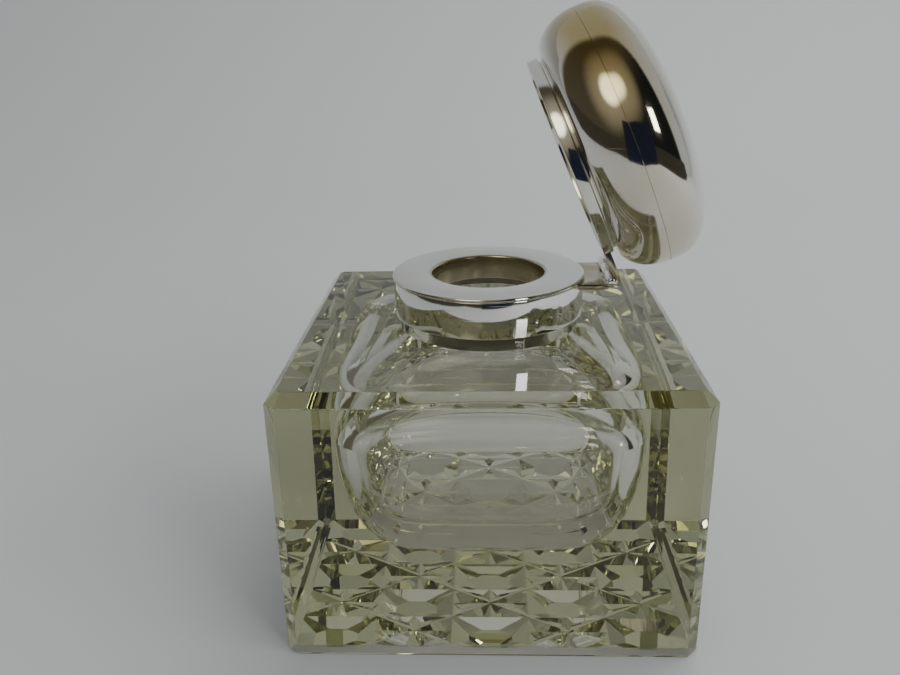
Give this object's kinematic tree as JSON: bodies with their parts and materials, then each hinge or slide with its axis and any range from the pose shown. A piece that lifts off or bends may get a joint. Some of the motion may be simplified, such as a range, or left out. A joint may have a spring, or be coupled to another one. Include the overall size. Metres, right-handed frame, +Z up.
{
  "type": "inkwell",
  "caption": "Square cut-glass desk inkwell with a hobnail and star cut base, a silver collar and a hinged cushion-shaped silver lid that shuts over the pen mouth.",
  "frame": {"origin": "on the surface the block stands on, under the middle of the block, at the middle of the centre hob's flat", "axes": "+Z up, out of the pen mouth; +X from the middle of the collar towards the hinge; +Y along the hinge axis, towards the back"},
  "size_m": [0.0929, 0.09, 0.1335],
  "materials": {
    "crystal": "clear lead crystal with a faint olive-grey tint, polished faces and cut base",
    "plaster": "matt plaster of Paris, slightly stained",
    "silver": "polished silver with fine scratches and a little golden toning",
    "tarnished_silver": "silver toned brown where polishing does not reach"
  },
  "bodies": {
    "base": {"glass_block": "crystal", "neck_cement": "plaster", "collar_band": "silver", "collar_top_plate": "silver", "mouth_sleeve": "tarnished_silver", "hinge_lug": "tarnished_silver", "collar_knuckles": "silver", "hinge_stop": "tarnished_silver", "hinge_pin": "silver"},
    "lid": {"lid_knuckle": "silver", "lid_hinge_leaf": "tarnished_silver", "lid_bezel": "silver", "lid_under_plate": "tarnished_silver", "lid_under_shell": "silver", "lid_dome_shell": "silver"}
  },
  "joints": [
    {"name": "lid_hinge", "type": "hinge", "parent": "base", "child": "lid", "pos_m": [0.0279, 0, 0.0738], "axis": [0, -1, 0], "range_deg": [0, 67]}
  ]
}
